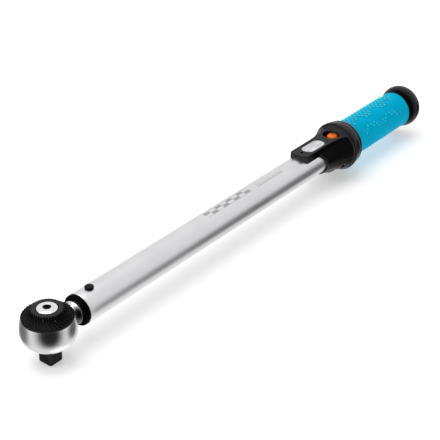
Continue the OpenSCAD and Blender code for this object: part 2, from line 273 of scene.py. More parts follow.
def add_node(tree, kind, **inputs):
    """A shader node whose inputs are set to values or linked to outputs."""
    node = tree.nodes.new("ShaderNode" + kind)
    for name, value in inputs.items():
        socket = node.inputs[name.replace("_", " ")]
        if isinstance(value, bpy.types.NodeSocket):
            tree.links.new(value, socket)
        else:
            socket.default_value = value
    return node


def math_node(tree, operation, *values):
    """A Math node on outputs or numbers."""
    node = add_node(tree, "Math")
    node.operation = operation
    for socket, value in zip(node.inputs, values):
        if isinstance(value, (int, float)):
            socket.default_value = value
        else:
            tree.links.new(value, socket)
    return node.outputs[0]


class Nodes:
    """A material's node tree, with short calls for what every finish here uses."""

    def __init__(self, name):
        self.material = bpy.data.materials.new(name)
        self.material.use_nodes = True
        self.tree = self.material.node_tree
        self.shader = self.tree.nodes["Principled BSDF"]
        self.coords = add_node(self.tree, "TexCoord").outputs

    def feed(self, **sources):
        """Links outputs to the shader's own inputs."""
        for name, source in sources.items():
            self.tree.links.new(source, self.shader.inputs[name.replace("_", " ")])

    def noise(self, scale, detail=3.0, stretch=(1, 1, 1)):
        """Noise in object space, squeezed along the axes by stretch."""
        mapping = add_node(self.tree, "Mapping", Scale=stretch, Vector=self.coords["Object"])
        noise = add_node(self.tree, "TexNoise", Scale=scale, Detail=detail, Vector=mapping.outputs["Vector"])
        return noise.outputs["Fac"]

    def remap(self, source, low, high, from_low=0.3, from_high=0.7):
        """A value stretched to another range."""
        node = add_node(self.tree, "MapRange", From_Min=from_low, From_Max=from_high, To_Min=low, To_Max=high,
                        Value=source)
        return node.outputs["Result"]

    def mix(self, factor, first, second):
        """A colour between two others, each a colour or an output."""
        node = add_node(self.tree, "Mix", Factor=factor)
        node.data_type = "RGBA"
        for socket, colour in ((node.inputs[6], first), (node.inputs[7], second)):
            if isinstance(colour, tuple):
                socket.default_value = (*colour, 1)
            else:
                self.tree.links.new(colour, socket)
        return node.outputs[2]

    def bump(self, height, strength, depth, **before):
        """Bump from a height, over an earlier bump if there is one, given as Normal."""
        node = add_node(self.tree, "Bump", Strength=strength, Distance=depth * MM, Height=height, **before)
        return node.outputs["Normal"]

    def edges(self, low, high):
        """1 on outer edges and 0 elsewhere."""
        return self.remap(add_node(self.tree, "NewGeometry").outputs["Pointiness"], 0, 1, low, high)

    def along_x(self, x0, x1, low, high):
        """A value that changes between two places along the tool, in millimetres."""
        parts = add_node(self.tree, "SeparateXYZ", Vector=self.coords["Object"])
        return self.remap(parts.outputs["X"], low, high, x0 * MM, x1 * MM)

    def band(self, x0, x1, lead=0.15, fade=0.15):
        """1 between two places along the tool, with soft ends."""
        start, end = self.along_x(x0 - lead, x0, 0, 1), self.along_x(x1, x1 + fade, 1, 0)
        return math_node(self.tree, "MULTIPLY", start, end)

    def upward(self, low, high):
        """1 where the surface faces up by more than high and 0 where by less than low."""
        parts = add_node(self.tree, "SeparateXYZ", Vector=self.coords["Normal"])
        return self.remap(parts.outputs["Z"], 0, 1, low, high)

    def set(self, **values):
        """Constants on the shader's own sockets."""
        for name, value in values.items():
            self.shader.inputs[name.replace("_", " ")].default_value = value


def shade(colour, factor):
    """A colour made lighter or darker."""
    return tuple(min(1, c * factor) for c in colour)


def plain(name, colour, rough, metal=0.0, spread=0.05, tint=0.1, grain=1500, blotch=60,
          pits=0.15, depth=0.02, stretch=(1, 1, 1), edge_wear_and_glint=None, top_sheen=None, gloss=None,
          glint_band=None, **constants):
    """A finish with mottled colour, uneven roughness and a fine grain in its surface.

    worn is the colour of outer edges, partly wear and partly a painted highlight on them, dust a painted
    sheen on level faces, where light from above falls, gloss (x0, x1, low, high) a specular level that
    changes along the tool, and rubbed (x0, x1) a painted glint: a thin band along the tool in the worn
    colour.
    """
    nodes = Nodes(name)
    fine = nodes.noise(grain, 4, stretch)
    broad = nodes.noise(blotch, 3)
    base = nodes.mix(nodes.remap(broad, 0, 1), shade(colour, 1 - tint), shade(colour, 1 + tint))
    # painted sheen: level faces are made lighter, where light from above falls
    if top_sheen:
        base = nodes.mix(nodes.upward(0.8, 1.0), base, top_sheen)
    # outer edges made lighter: partly wear, partly a painted highlight on the edges
    if edge_wear_and_glint:
        base = nodes.mix(nodes.edges(0.53, 0.6), base, edge_wear_and_glint)
    # painted glint: a thin light band along the tool, patchy with the blotches
    if glint_band:
        glint_patches = math_node(nodes.tree, "MULTIPLY", nodes.band(*glint_band), nodes.remap(broad, 0.5, 1))
        base = nodes.mix(glint_patches, base, edge_wear_and_glint)
    if gloss:
        nodes.feed(Specular_IOR_Level=nodes.along_x(*gloss))
    mottle = nodes.remap(broad, rough - spread, rough + spread)
    nodes.feed(Base_Color=base, Roughness=mottle, Normal=nodes.bump(fine, pits, depth))
    nodes.set(Metallic=metal, **constants)
    return nodes.material


def satin_chrome(name, colour, rough, streak, grain=2600, stretch=(0.03, 1, 1), depth=0.01, neck=None):
    """Plated metal with a fine grain, brushed along the tube by stretch, and faint cloudy patches.

    neck is a painted shade: a dark colour painted on the neck's flare, between the waist and the neck's
    bright rim, where the flare doesn't face up, in place of the dark reflection it shows there.
    """
    nodes = Nodes(name)
    lines = nodes.noise(grain, 3, stretch)
    cloud = nodes.noise(22, 4)
    base = nodes.mix(nodes.remap(cloud, 0, 1), shade(colour, 0.95), shade(colour, 1.03))
    # painted shade: darkens the neck's flare where it doesn't face up, in place of a dark reflection
    if neck:
        neck_shade_mask = nodes.band(WAIST_X - 0.4, NECK_X1 - 0.25, lead=1.4)
        neck_shade_mask = math_node(nodes.tree, "MULTIPLY", neck_shade_mask, nodes.upward(0.85, 0.6))
        base = nodes.mix(neck_shade_mask, base, neck)
    cloudy = nodes.remap(cloud, rough - 0.03 - streak / 2, rough + 0.03 - streak / 2)
    streaky = math_node(nodes.tree, "MULTIPLY_ADD", lines, streak, cloudy)
    nodes.feed(Base_Color=base, Roughness=streaky, Normal=nodes.bump(lines, 0.12, depth))
    nodes.set(Metallic=1.0)
    return nodes.material


def clear_lens(name):
    """Frosted silvery window with fine lengthwise streaks and a faint ripple."""
    nodes = Nodes(name)
    ripple = nodes.noise(160, 2, (0.3, 1, 1))
    streaks = nodes.noise(700, 4, (0.12, 1, 1))
    base = nodes.mix(nodes.remap(streaks, 0, 1, 0.38, 0.62), (0.58, 0.58, 0.61), (1.0, 1.0, 1.0))
    relief = nodes.bump(streaks, 0.25, 0.05, Normal=nodes.bump(ripple, 0.2, 0.15))
    nodes.feed(Base_Color=base, Roughness=nodes.remap(ripple, 0.16, 0.28), Normal=relief)
    nodes.set(Metallic=0.35, IOR=1.49, Transmission_Weight=0.3)
    return nodes.material


WAIST_X = 23.4            # where the neck starts to flare
NECK_X1 = 27.2            # and where it ends in a bright rim
RING_X0, RING_X1 = span("front_ring", "x")
GRIP_X0, GRIP_X1 = span("grip_sleeve", "x")

# a look's name ends in a number where the CAD already has a material of that name
LOOKS = {look.name.split(".")[0]: look for look in (
    satin_chrome("satin_tube", (0.80, 0.80, 0.815), 0.33, 0.16, depth=0.02),
    # head chrome, with a painted shade on the neck's flare in place of its dark reflection
    satin_chrome("head_chrome", (0.83, 0.83, 0.84), 0.25, 0.1, 1500, (1, 1, 1), 0.04,
                 neck=(0.1, 0.103, 0.107)),
    plain("cap_chrome", (0.88, 0.88, 0.89), 0.12, 1.0, 0.04, 0.03, 2200, 90, 0.05, 0.01),
    # black plastic: painted sheen on its level faces, and edges lightened, partly wear and partly painted
    # highlight
    plain("black_plastic", (0.0015, 0.0015, 0.0018), 0.26, spread=0.06, tint=0.3, grain=950, blotch=240,
          pits=0.3, depth=0.04, edge_wear_and_glint=(0.04, 0.04, 0.043), top_sheen=(0.03, 0.031, 0.033), Specular_IOR_Level=0.04),
    # ring: a painted glint in a thin band near its rear
    plain("ring_plastic", (0.003, 0.003, 0.0034), 0.28, spread=0.06, tint=0.2, grain=1200, blotch=200,
          pits=0.25, depth=0.03, edge_wear_and_glint=(0.12, 0.12, 0.125), glint_band=(RING_X0 + 8.6, RING_X0 + 9.2),
          Specular_IOR_Level=0.2),
    plain("black_rubber", (0.0012, 0.0012, 0.0015), 0.27, grain=1600, pits=0.2, edge_wear_and_glint=(0.008, 0.008, 0.009),
          gloss=(GRIP_X1 + 5, GRIP_X1 + 10, 0.02, 0.36)),
    # dial: painted sheen on its level faces, and edges lightened, partly wear and partly painted highlight
    plain("dial_plastic", (0.002, 0.0019, 0.0024), 0.28, tint=0.2, pits=0.2, edge_wear_and_glint=(0.07, 0.07, 0.075),
          top_sheen=(0.023, 0.023, 0.025), Specular_IOR_Level=0.06),
    plain("black_steel", (0.004, 0.004, 0.0045), 0.26, spread=0.06, tint=0.2, blotch=120, pits=0.2,
          edge_wear_and_glint=(0.03, 0.03, 0.033), Specular_IOR_Level=0.1),
    plain("blue_rubber", (0.0, 0.42, 0.66), 0.46, tint=0.06, grain=1900, blotch=30, pits=0.3, depth=0.03,
          edge_wear_and_glint=(0.0, 0.52, 0.78), Specular_IOR_Level=0.01),
    plain("orange_plastic", (0.95, 0.165, 0.003), 0.3, tint=0.05, grain=1800, pits=0.12,
          Specular_IOR_Level=0.25),
    clear_lens("clear_lens"),
    plain("scale_silver", (0.86, 0.86, 0.87), 0.45, spread=0.08, tint=0.06, grain=900, blotch=200, pits=0.2,
          stretch=(0.05, 1, 1)),
    plain("spring_steel", (0.30, 0.31, 0.33), 0.34, 1.0, 0.08, 0.15, 1200, 80, 0.2),
    plain("machined_steel", (0.5, 0.5, 0.51), 0.3, 1.0, 0.08, 0.08, 1600, 70, 0.3, stretch=(1, 0.1, 0.1)),
    plain("bronze", (0.70, 0.47, 0.20), 0.32, 1.0, 0.08, 0.1, 1400, 70, 0.25),
    plain("index_paint", (0.5, 0.02, 0.02), 0.4, spread=0.06),
    plain("screw_steel", (0.35, 0.35, 0.36), 0.35, 1.0, 0.08, 0.1, 1500, 150, 0.25),
)}
# painted highlight: the dots are the sleeve's own rubber, coloured lighter as if lit
DOT_HIGHLIGHT_RUBBER = plain("dot_highlight_rubber", (0.06, 0.62, 0.80), 0.45, tint=0.05, grain=1900, pits=0.2,
                   Specular_IOR_Level=0.03)
# painted shade: a darker copy of the sleeve's rubber for the discs round the dense dots, standing in for
# shade in the gaps
DOT_SHADE_RUBBER = plain("dot_shade_rubber", (0.0, 0.27, 0.42), 0.5, tint=0.08, grain=1900, pits=0.2,
                      Specular_IOR_Level=0.01)
# painted reflection: the tongue is black plastic, coloured grey as if mirroring the bright floor
TONGUE_FLOOR_REFLECTION = plain("tongue_floor_reflection", (0.15, 0.155, 0.158), 0.42, spread=0.08, tint=0.12, grain=1300, blotch=180,
                    pits=0.3, depth=0.03)
ETCHED = plain("etched_mark", (0.40, 0.40, 0.41), 0.5, 0.8, 0.06, 0.08, 2000, 90, 0.3)
PRINTED = plain("printed_mark", (0.05, 0.05, 0.055), 0.5)
SYMBOL = plain("symbol_fill", (0.04, 0.01, 0.005), 0.6, tint=0.15)


# ---- ratchet head ----

HEAD_R = radius_of("ratchet_head")
HEAD_LOW, HEAD_HIGH = height_of("ratchet_head")
HEAD_SINK = 17.2          # where the lower half's curve would close
HEAD_POWER = 2.15
HEAD_RISE = 26.0          # where the upper half's curve would close
NECK_R = 10.0
WAIST_R = 7.6             # radius of the neck where it leaves the head
TAIL_R = 8.6
TAIL_END_R = 8.0
TAIL_STEP_X = 60.0
TAIL_X1 = span("ratchet_head", "x")[1]
CAVITY_R = 15.5
CAVITY_FLOOR_Z = -9.2
SNAP_GROOVE = (8.6, 9.6)  # heights of the retaining ring's groove
SNAP_GROOVE_R = 16.2
DRIVE_BORE_R = 9.25
PIN_X = sum(span("pivot_pin", "x")) / 2


def head_radius(z):
    """Radius of the round head at a height."""
    if z < 0:
        return HEAD_R * (1 - (-z / HEAD_SINK) ** HEAD_POWER) ** (1 / HEAD_POWER)
    return HEAD_R * sqrt(1 - (z / HEAD_RISE) ** 2)


def head_shell(columns=144, side=16):
    """Round head with the neck growing out of it through a fillet, as one closed skin."""
    edge_z = HEAD_HIGH - 0.25
    low_z = HEAD_LOW + 1.2
    rows = 30
    levels = [HEAD_LOW, HEAD_LOW + 0.15, HEAD_LOW + 0.5]
    first = len(levels)
    levels += [low_z + (edge_z - low_z) * i / rows for i in range(rows + 1)]
    profile = [(head_radius(z) - (0.25, 0.08, 0)[min(i, 2)], z) for i, z in enumerate(levels)]
    last = len(profile) - 1
    rim = head_radius(HEAD_HIGH)
    profile += [(rim - 0.03, HEAD_HIGH - 0.03), (rim - 0.15, HEAD_HIGH), (CAVITY_R + 0.2, HEAD_HIGH),
                (CAVITY_R, HEAD_HIGH - 0.2), (CAVITY_R, SNAP_GROOVE[1]), (SNAP_GROOVE_R, SNAP_GROOVE[1]),
                (SNAP_GROOVE_R, SNAP_GROOVE[0]), (CAVITY_R, SNAP_GROOVE[0]), (CAVITY_R, CAVITY_FLOOR_Z),
                (DRIVE_BORE_R, CAVITY_FLOOR_Z), (DRIVE_BORE_R, HEAD_LOW)]
    points, faces = skin([around_z(r, z, columns) for r, z in profile], loop=True)

    def at(row, column):
        return row * columns + column % columns

    hole = {frozenset((at(r, c), at(r, c + 1), at(r + 1, c + 1), at(r + 1, c)))
            for r in range(first, last) for c in range(-side, side)}
    faces = [f for f in faces if frozenset(f) not in hole]
    edge = ([at(first, c) for c in range(-side, side)] + [at(r, side) for r in range(first, last)]
            + [at(last, c) for c in range(side, -side, -1)] + [at(r, -side) for r in range(last, first, -1)])
    starts = [points[i] for i in edge]
    rings = [neck_ring(starts, u) for u in (0.15, 0.3, 0.45, 0.6, 0.7, 0.8, 0.88, 0.94, 0.98, 1.0)]
    root = rings[-1]
    swell = NECK_R - WAIST_R
    flare = [(WAIST_X + 0.5 * i, WAIST_R + swell * smooth(-0.3, 1.15, i / 7)) for i in range(7)]
    for x, r in (*flare, (NECK_X1 - 0.4, NECK_R - 0.05), (NECK_X1 - 0.15, NECK_R), (NECK_X1, NECK_R - 0.2),
                 (NECK_X1, TAIL_R), (TAIL_STEP_X, TAIL_R),
                 (TAIL_STEP_X, TAIL_END_R), (TAIL_X1 - 0.5, TAIL_END_R), (TAIL_X1, TAIL_END_R - 0.5)):
        rings.append([(x, y * r / WAIST_R, z * r / WAIST_R) for _, y, z in root])
    rings.append([(TAIL_X1, 0, 0)])
    neck_points, neck_faces = skin([starts] + rings)
    count = len(edge)
    index = edge + [len(points) + i for i in range(len(neck_points) - count)]
    faces += [[index[i] for i in f] for f in neck_faces]
    return points + neck_points[count:], faces


def neck_ring(starts, u):
    """The skin between the head's hole (u = 0) and the neck's round root (u = 1)."""
    ring = []
    for _, y, z in starts:
        far = hypot(y, z)
        fillet = min(1.4, 0.9 * (far - WAIST_R))
        r = far + (WAIST_R - far) * u
        y, z = y * r / far, z * r / far
        x = sqrt(head_radius(z) ** 2 - y * y)
        if r < WAIST_R + fillet:
            x += fillet * (1 - sqrt(max(0, 1 - ((WAIST_R + fillet - r) / fillet) ** 2)))
        ring.append((x, y, z))
    return ring


def make_head():
    head = make("head_casting", head_shell())
    ball_x = sum(span("detent_ball", "x")) / 2
    combine(head, "DIFFERENCE", drill(3.85, -OUTSIDE, PIN_X), drill(1.3, 2.4, ball_x, 24))
    finish(head, "head", "head_chrome", "ratchet_head", crease=35)


# ---- direction dial and its cap ----

DIAL_LOW, DIAL_HIGH = height_of("direction_dial")
DIAL_R = radius_of("direction_dial")
DIAL_TOP_R = 13.3
DIAL_RIM_Z = DIAL_LOW + 2.0
DIAL_HOLLOW = 0.55        # power of the side's curve, steep at the top and flatter at the rim
DIAL_WELL_R = 9.0
DIAL_WELL_Z = 17.7
DIAL_BORE_R = 5.98
DIAL_FLAT_R = 12.0        # the plain middle of the flat top
RIM_HOLLOW = (16.9, 19.7)  # radii of the hollow under the rim
RIM_HOLLOW_Z = 11.6
RIBS = 40
RIB_DEPTH = 1.5
RIB_DRIFT = 1.3           # how far a rib swirls, in ribs


def dial_profile():
    """(radius, height, share of the rib depth, lean) from the bore over the top and down to the underside.

    A groove is pressed straight down at a lean of 0 and straight inwards at a lean of 1.
    """
    rows = [(DIAL_BORE_R, DIAL_LOW, 0, 0), (DIAL_BORE_R, DIAL_WELL_Z, 0, 0), (DIAL_WELL_R, DIAL_WELL_Z, 0, 0),
            (DIAL_WELL_R, DIAL_HIGH - 0.25, 0, 0), (DIAL_WELL_R + 0.25, DIAL_HIGH, 0, 0),
            (DIAL_FLAT_R, DIAL_HIGH, 0, 0), (DIAL_FLAT_R + 0.4, DIAL_HIGH, 0, 0),
            (DIAL_FLAT_R + 0.6, DIAL_HIGH, 0.6, 0), (DIAL_TOP_R - 0.35, DIAL_HIGH, 1, 0.1),
            (DIAL_TOP_R - 0.05, DIAL_HIGH - 0.12, 1, 0.3)]
    steps = 20
    for i in range(1, steps):
        t = (i / steps) ** 1.3
        rows.append((DIAL_TOP_R + (DIAL_R - DIAL_TOP_R) * t,
                     DIAL_HIGH + (DIAL_RIM_Z - DIAL_HIGH) * t ** DIAL_HOLLOW,
                     1 - 0.3 * smooth(0, 0.4, t), 0.75 - 0.55 * t))
    rows += [(DIAL_R - 0.12, DIAL_RIM_Z + 0.05, 0.6, 0.5), (DIAL_R, DIAL_RIM_Z - 0.12, 0.5, 1),
             (DIAL_R, DIAL_RIM_Z - 0.7, 0.4, 1), (DIAL_R, DIAL_RIM_Z - 0.9, 0, 1),
             (DIAL_R, DIAL_LOW + 0.15, 0, 0), (DIAL_R - 0.15, DIAL_LOW, 0, 0),
             (RIM_HOLLOW[1], DIAL_LOW, 0, 0), (RIM_HOLLOW[1], RIM_HOLLOW_Z, 0, 0),
             (RIM_HOLLOW[0], RIM_HOLLOW_Z, 0, 0), (RIM_HOLLOW[0], DIAL_LOW, 0, 0)]
    return rows


def dial_ring(r, z, share, lean, segments):
    """One ring of the dial, pressed in along each groove."""
    drift = RIB_DRIFT * smooth(DIAL_TOP_R - 1, DIAL_R + 1, r)
    ring = []
    for i in range(segments):
        turn = tau * i / segments
        groove = abs(cos(pi * (RIBS * turn / tau - drift))) ** 1.7 * RIB_DEPTH * share
        inner = r - groove * lean
        ring.append((inner * cos(turn), inner * sin(turn), z - groove * (1 - lean)))
    return ring


def make_dial():
    segments = RIBS * 12
    rings = [dial_ring(*row, segments) for row in dial_profile()]
    dial = make("ribbed_dial", skin(rings, loop=True))
    finish(dial, "dial", "dial_plastic", "direction_dial", crease=38)


def make_cap():
    """Domed bright disc with a six-lobed recess."""
    low, high = height_of("cap_screw")
    cap_r = radius_of("cap_screw")
    shaft_r = 2.5
    seat_z = 18.05
    recess_r = 3.4
    segments = 96

    def dome(r):
        return high - 1.2 * (r / cap_r) ** 2

    rings = [around_z(0, low, segments)]
    for r, z in ((shaft_r - 0.3, low), (shaft_r, low + 0.3), (shaft_r, seat_z), (cap_r - 0.5, seat_z),
                 (cap_r, seat_z + 0.45), (cap_r, dome(cap_r) - 0.25), (cap_r - 0.1, dome(cap_r) - 0.05)):
        rings.append(around_z(r, z, segments))
    rings += [around_z(r, dome(r), segments) for r in (cap_r - 0.35, 7.2, 6.2, 5.2, 4.4, 3.9)]
    for grow, sink in ((0.2, 0.02), (0.05, 0.12), (0, 0.4)):
        rings.append(around_z(recess_r + grow, dome(recess_r + grow) - sink, segments))
    rings += [around_z(r, seat_z + 0.2, segments) for r in (recess_r, 0)]
    cap = make("dial_cap", skin(rings))
    finish(cap, "drive", "cap_chrome", "cap_screw", crease=40)
    make_cap_socket(recess_r - 0.02, seat_z + 0.21, dome(recess_r) - 0.35)


def make_cap_socket(outer, low, high, segments=96):
    """Black screw head inside the cap, with a six-lobed hole."""
    rings = [around_z(r, z, segments)
             for r, z in ((0, low), (outer, low), (outer, high - 0.2), (outer - 0.23, high))]
    for r, z, lobes in ((2.35, high, 0.28), (2.25, high - 0.12, 0.32), (2.2, low + 0.5, 0.32),
                        (1.2, low + 0.3, 0.1)):
        ring = []
        for i in range(segments):
            t = tau * i / segments
            reach = r + lobes * cos(6 * t)
            ring.append((reach * cos(t), reach * sin(t), z))
        rings.append(ring)
    rings.append(around_z(0, low + 0.2, segments))
    finish(make("cap_socket", skin(rings)), "drive", "black_steel", crease=40)


# ---- square drive ----


def make_drive():
    """The CAD spindle is right as it is, and only its edges are eased."""
    spindle = frame["nodes"]["drive_spindle"]
    weld = spindle.modifiers.new("weld", "WELD")
    weld.merge_threshold = 0.001 * MM
    ease = spindle.modifiers.new("ease", "BEVEL")
    ease.width = 0.18 * MM
    ease.segments = 2
    ease.limit_method = "ANGLE"
    ease.angle_limit = radians(50)


# ---- tube, collar and pivot pin ----

TUBE_X0, TUBE_X1 = span("outer_tube", "x")
TUBE_R = radius_of("outer_tube")
TUBE_BORE_R = 11.6
HOUSING_X0, HOUSING_X1 = span("upper_housing", "x")


def box_shape(low, high):
    """A plain box between two corners."""
    (x0, y0, z0), (x1, y1, z1) = low, high
    return prism([(x0, y0), (x1, y0), (x1, y1), (x0, y1)], z0, z1)


def make_tube():
    corners = [(TUBE_X0, TUBE_R, 0.4), (TUBE_X1, TUBE_R, 0.4), (TUBE_X1, TUBE_BORE_R, 0.2),
               (TUBE_X0, TUBE_BORE_R, 0.2)]
    profile = soften(corners)
    outer = [p for p in profile if p[1] > TUBE_R - 0.01]
    stations = [40, 52, 120, 190, 260, 324, 372, 394]
    cut = profile.index(outer[0]) + 1
    profile[cut:cut] = [(x, TUBE_R) for x in stations]
    tube = make("satin_tube", turned(profile, 224, loop=True))
    arm_x1 = span("index_arm", "x")[1]
    arm_slot_len, arm_slot_y, well_half = 36, (4.6, 6), 8.8
    arm_slot = box_shape((arm_x1 - arm_slot_len, arm_slot_y[0], 0), (arm_x1 + 1.2, arm_slot_y[1], OUTSIDE))
    well = box_shape((373.5, -well_half, 10.2), (HOUSING_X1, well_half, OUTSIDE))
    pin_hole = drill(3.8, -OUTSIDE, PIN_X)
    combine(tube, "DIFFERENCE", pin_hole, arm_slot, well)
    finish(tube, "tube", "satin_tube", "outer_tube")


def patch(x0, x1, turn0, turn1, low, high):
    """Thin plate wrapped on the tube between two angles from the top, in degrees."""
    steps = max(1, round(abs(turn1 - turn0) / 3))
    rings = []
    for i in range(steps + 1):
        turn = radians(turn0 + (turn1 - turn0) * i / steps)
        rings.append([(x, -r * sin(turn), r * cos(turn))
                      for x, r in ((x0, low), (x1, low), (x1, high), (x0, high))])
    points, faces = skin(rings)
    return points, faces + [[0, 1, 2, 3], [len(points) - k for k in (1, 2, 3, 4)]]


def make_marks():
    """Etched scale bar of chequered boxes, and a fine row of ticks behind it."""
    skin_low, skin_high = TUBE_R - 0.03, TUBE_R + 0.015
    shapes = []
    boxes, box_x0, box_len = 8, 190.0, 7.6
    for i in range(boxes):
        x = box_x0 + i * box_len
        turn = -12 if i % 2 == 0 else 1.5
        shapes.append(patch(x, x + box_len, turn, turn + 13.5, skin_low, skin_high))
    for turn in (-13.6, 15.6):
        shapes.append(patch(box_x0, box_x0 + boxes * box_len, turn, turn + 1.2, skin_low, skin_high))
    ticks, tick_x0, gap = 19, 262.0, 2.0
    shapes.append(patch(tick_x0, tick_x0 + (ticks - 1) * gap + 0.5, 15, 17, skin_low, skin_high))
    for i in range(ticks):
        top = -12 if i % 6 == 0 else -3 if i % 3 == 0 else 4
        shapes.append(patch(tick_x0 + i * gap, tick_x0 + i * gap + 0.5, top, 15, skin_low, skin_high))
    finish(make("tube_marks", joined(*shapes)), "tube", "satin_tube", look=ETCHED)


def make_collar():
    x0, x1 = span("front_collar", "x")
    outer = radius_of("front_collar")
    corners = [(x0, 10.9, 0.3), (x0, outer - 0.1, 0.8), (TUBE_X0, outer, 0.1),
               (TUBE_X0, TUBE_BORE_R - 0.05, 0), (x1, TUBE_BORE_R - 0.05, 0.2), (x1, 10.9, 0.2)]
    collar = make("front_seal", turned(soften(corners, 5), 160, loop=True))
    finish(collar, "tube", "black_rubber", "front_collar")


def make_pin():
    low, high = height_of("pivot_pin")
    r = radius_of("pivot_pin")
    profile = [(0, low)] + soften([(0, low, 0), (r, low, 0.4), (r, high - 0.1, 0.75), (0, high, 0)], 6)[1:]
    pin = make("pivot_stud", upright(profile, PIN_X, 64))
    finish(pin, "tube", "black_steel", "pivot_pin")


# ---- window housing ----

PLATE_Z = height_of("upper_housing")[1]
PLATE_HALF = 9.8
PLATE_REAR_HALF = 12.4
PLATE_WIDENS_X = 364.0
PLATE_REAR_X = 390.0
FLARE_X0 = 354.0
FLARE_R0 = 15.2
FLARE_GROWTH = 8.4
FLARE_POWER = 1.7
SPLIT_Z = -3.0
WINDOW_X0, WINDOW_X1 = span("window_lens", "x")
WINDOW_HALF = radius_of("window_lens") + 0.7
AROUND = ((300, -40), (400, 40))   # a plan that holds the whole housing
BUTTON_X = sum(span("lock_button", "x")) / 2
BUTTON_R = radius_of("lock_button")
DOT_X = sum(span("cover_screw", "x")) / 2


def flare_radius(x):
    """Outer radius of the skirt that wraps the tube."""
    t = max(0, (x - FLARE_X0) / (HOUSING_X1 - FLARE_X0))
    return FLARE_R0 + FLARE_GROWTH * t ** FLARE_POWER


def plate_outline():
    """Outline of the flat top: bowed front, straight sides, and a wider part at the button."""
    front_r = 24.0
    corner = (PLATE_HALF, 4.5)
    half_turn = asin((corner[0] - corner[1]) / (front_r - corner[1]))
    centre_x = HOUSING_X0 + front_r
    side = []
    steps = 10
    for i in range(steps + 1):
        turn = half_turn * i / steps
        side.append((centre_x - front_r * cos(turn), front_r * sin(turn)))
    corner_x = centre_x - (front_r - corner[1]) * cos(half_turn)
    corner_y = PLATE_HALF - corner[1]
    for i in range(1, 9):
        turn = half_turn + (pi / 2 - half_turn) * i / 8
        side.append((corner_x - corner[1] * cos(turn), corner_y + corner[1] * sin(turn)))
    side += [(345, PLATE_HALF), (PLATE_WIDENS_X - 2, PLATE_HALF), (PLATE_WIDENS_X, PLATE_HALF + 0.05),
             (PLATE_WIDENS_X + 2, PLATE_HALF + 0.25), (PLATE_REAR_X - 2, PLATE_REAR_HALF - 0.2),
             (PLATE_REAR_X, PLATE_REAR_HALF), (HOUSING_X1, PLATE_REAR_HALF)]
    mirrored = [(x, -y) for x, y in side[1:]]
    return mirrored + side[::-1]


def skirt_front(turn):
    """Where the skirt starts along the tube, at an angle from the top in degrees."""
    return 349.5 + 5.5 * smooth(40, 80, turn) + 2.5 * smooth(75, 110, turn)


def skirt_radius(x, turn):
    """Radius of the skirt, with a flat facet on each side and a crease under it."""
    r = flare_radius(x)
    along = max(0, min(1, (x - FLARE_X0) / (HOUSING_X1 - FLARE_X0)))
    top, crease = 46 - 14 * along, 78 - 18 * along
    lift = 0.75 * (1 - along)
    if turn <= top:
        return r
    if turn >= crease:
        return r + lift * (1 - smooth(crease, crease + 35, turn))
    a = Vector((sin(radians(top)), cos(radians(top)))) * r
    b = Vector((sin(radians(crease)), cos(radians(crease)))) * (r + lift)
    normal = Vector((b.y - a.y, a.x - b.x))
    ray = Vector((sin(radians(turn)), cos(radians(turn))))
    return a.dot(normal) / ray.dot(normal)


def skirt_shape(stations=22, segments=180):
    """Skirt that wraps the tube and flares out to the turning ring."""
    lip = ((0.0, 0.0), (0.0, 0.5), (0.12, 0.8), (0.4, 1.0))
    bore = TUBE_R - 3
    turns = [360 * i / segments for i in range(segments)]
    rings = []
    for push, share in lip:
        rings.append([skirt_point(skirt_front(min(t, 360 - t)) + push, t, bore, share) for t in turns])
    for i in range(1, stations + 1):
        s = i / stations
        rings.append([skirt_point(None, t, bore, 1, s) for t in turns])
    rings.append(around_x(HOUSING_X1, bore, segments))
    return skin(rings, loop=True)


def skirt_point(x, turn, bore, share, along=None):
    """A point of the skirt, between the bore (share = 0) and its outside (share = 1)."""
    half = min(turn, 360 - turn)
    if along is not None:
        start = skirt_front(half) + 0.4
        x = start + (HOUSING_X1 - start) * along
    r = bore + (skirt_radius(x, half) - bore) * share
    y, z = r * sin(radians(turn)), r * cos(radians(turn))
    if z > PLATE_Z - 0.02:
        z = PLATE_Z - 0.02
    return x, y, z


def housing_solid(name):
    """The housing's outer form before it is split and cut."""
    plate = prism(plate_outline(), 4, PLATE_Z, 0.7, 4)
    solid = make(name, skirt_shape())
    combine(solid, "UNION", plate)
    return solid


def tongue_shape():
    """Tongue that slopes down under the tube, ahead of the skirt."""
    x0, half = 360.0, 9.0
    rings = []
    for along, outer, share in ((0, 14.1, 0.88), (0.4, 14.5, 0.96), (1.2, 15, 1), (5.5, 17.2, 1), (11, 19, 1),
                                (17, 19.8, 1), (20, 19.9, 1)):
        x = x0 + along
        ring = []
        for i in range(17):
            y = half * share * (2 * i / 16 - 1)
            ring.append((x, y, -sqrt(outer ** 2 - y * y)))
        for i in range(17):
            y = half * share * (1 - 2 * i / 16)
            ring.append((x, y, -sqrt((TUBE_R + 0.05) ** 2 - y * y)))
        rings.append(ring)
    points, faces = skin(rings)
    count = len(rings[0])
    return points, faces + [list(range(count)), list(range(len(points) - count, len(points)))]


def tube_hole(r):
    x0, x1 = AROUND[0][0], AROUND[1][0] + 10
    return turned([(x0, 0), (x0, r), (x1, r), (x1, 0)], 180)


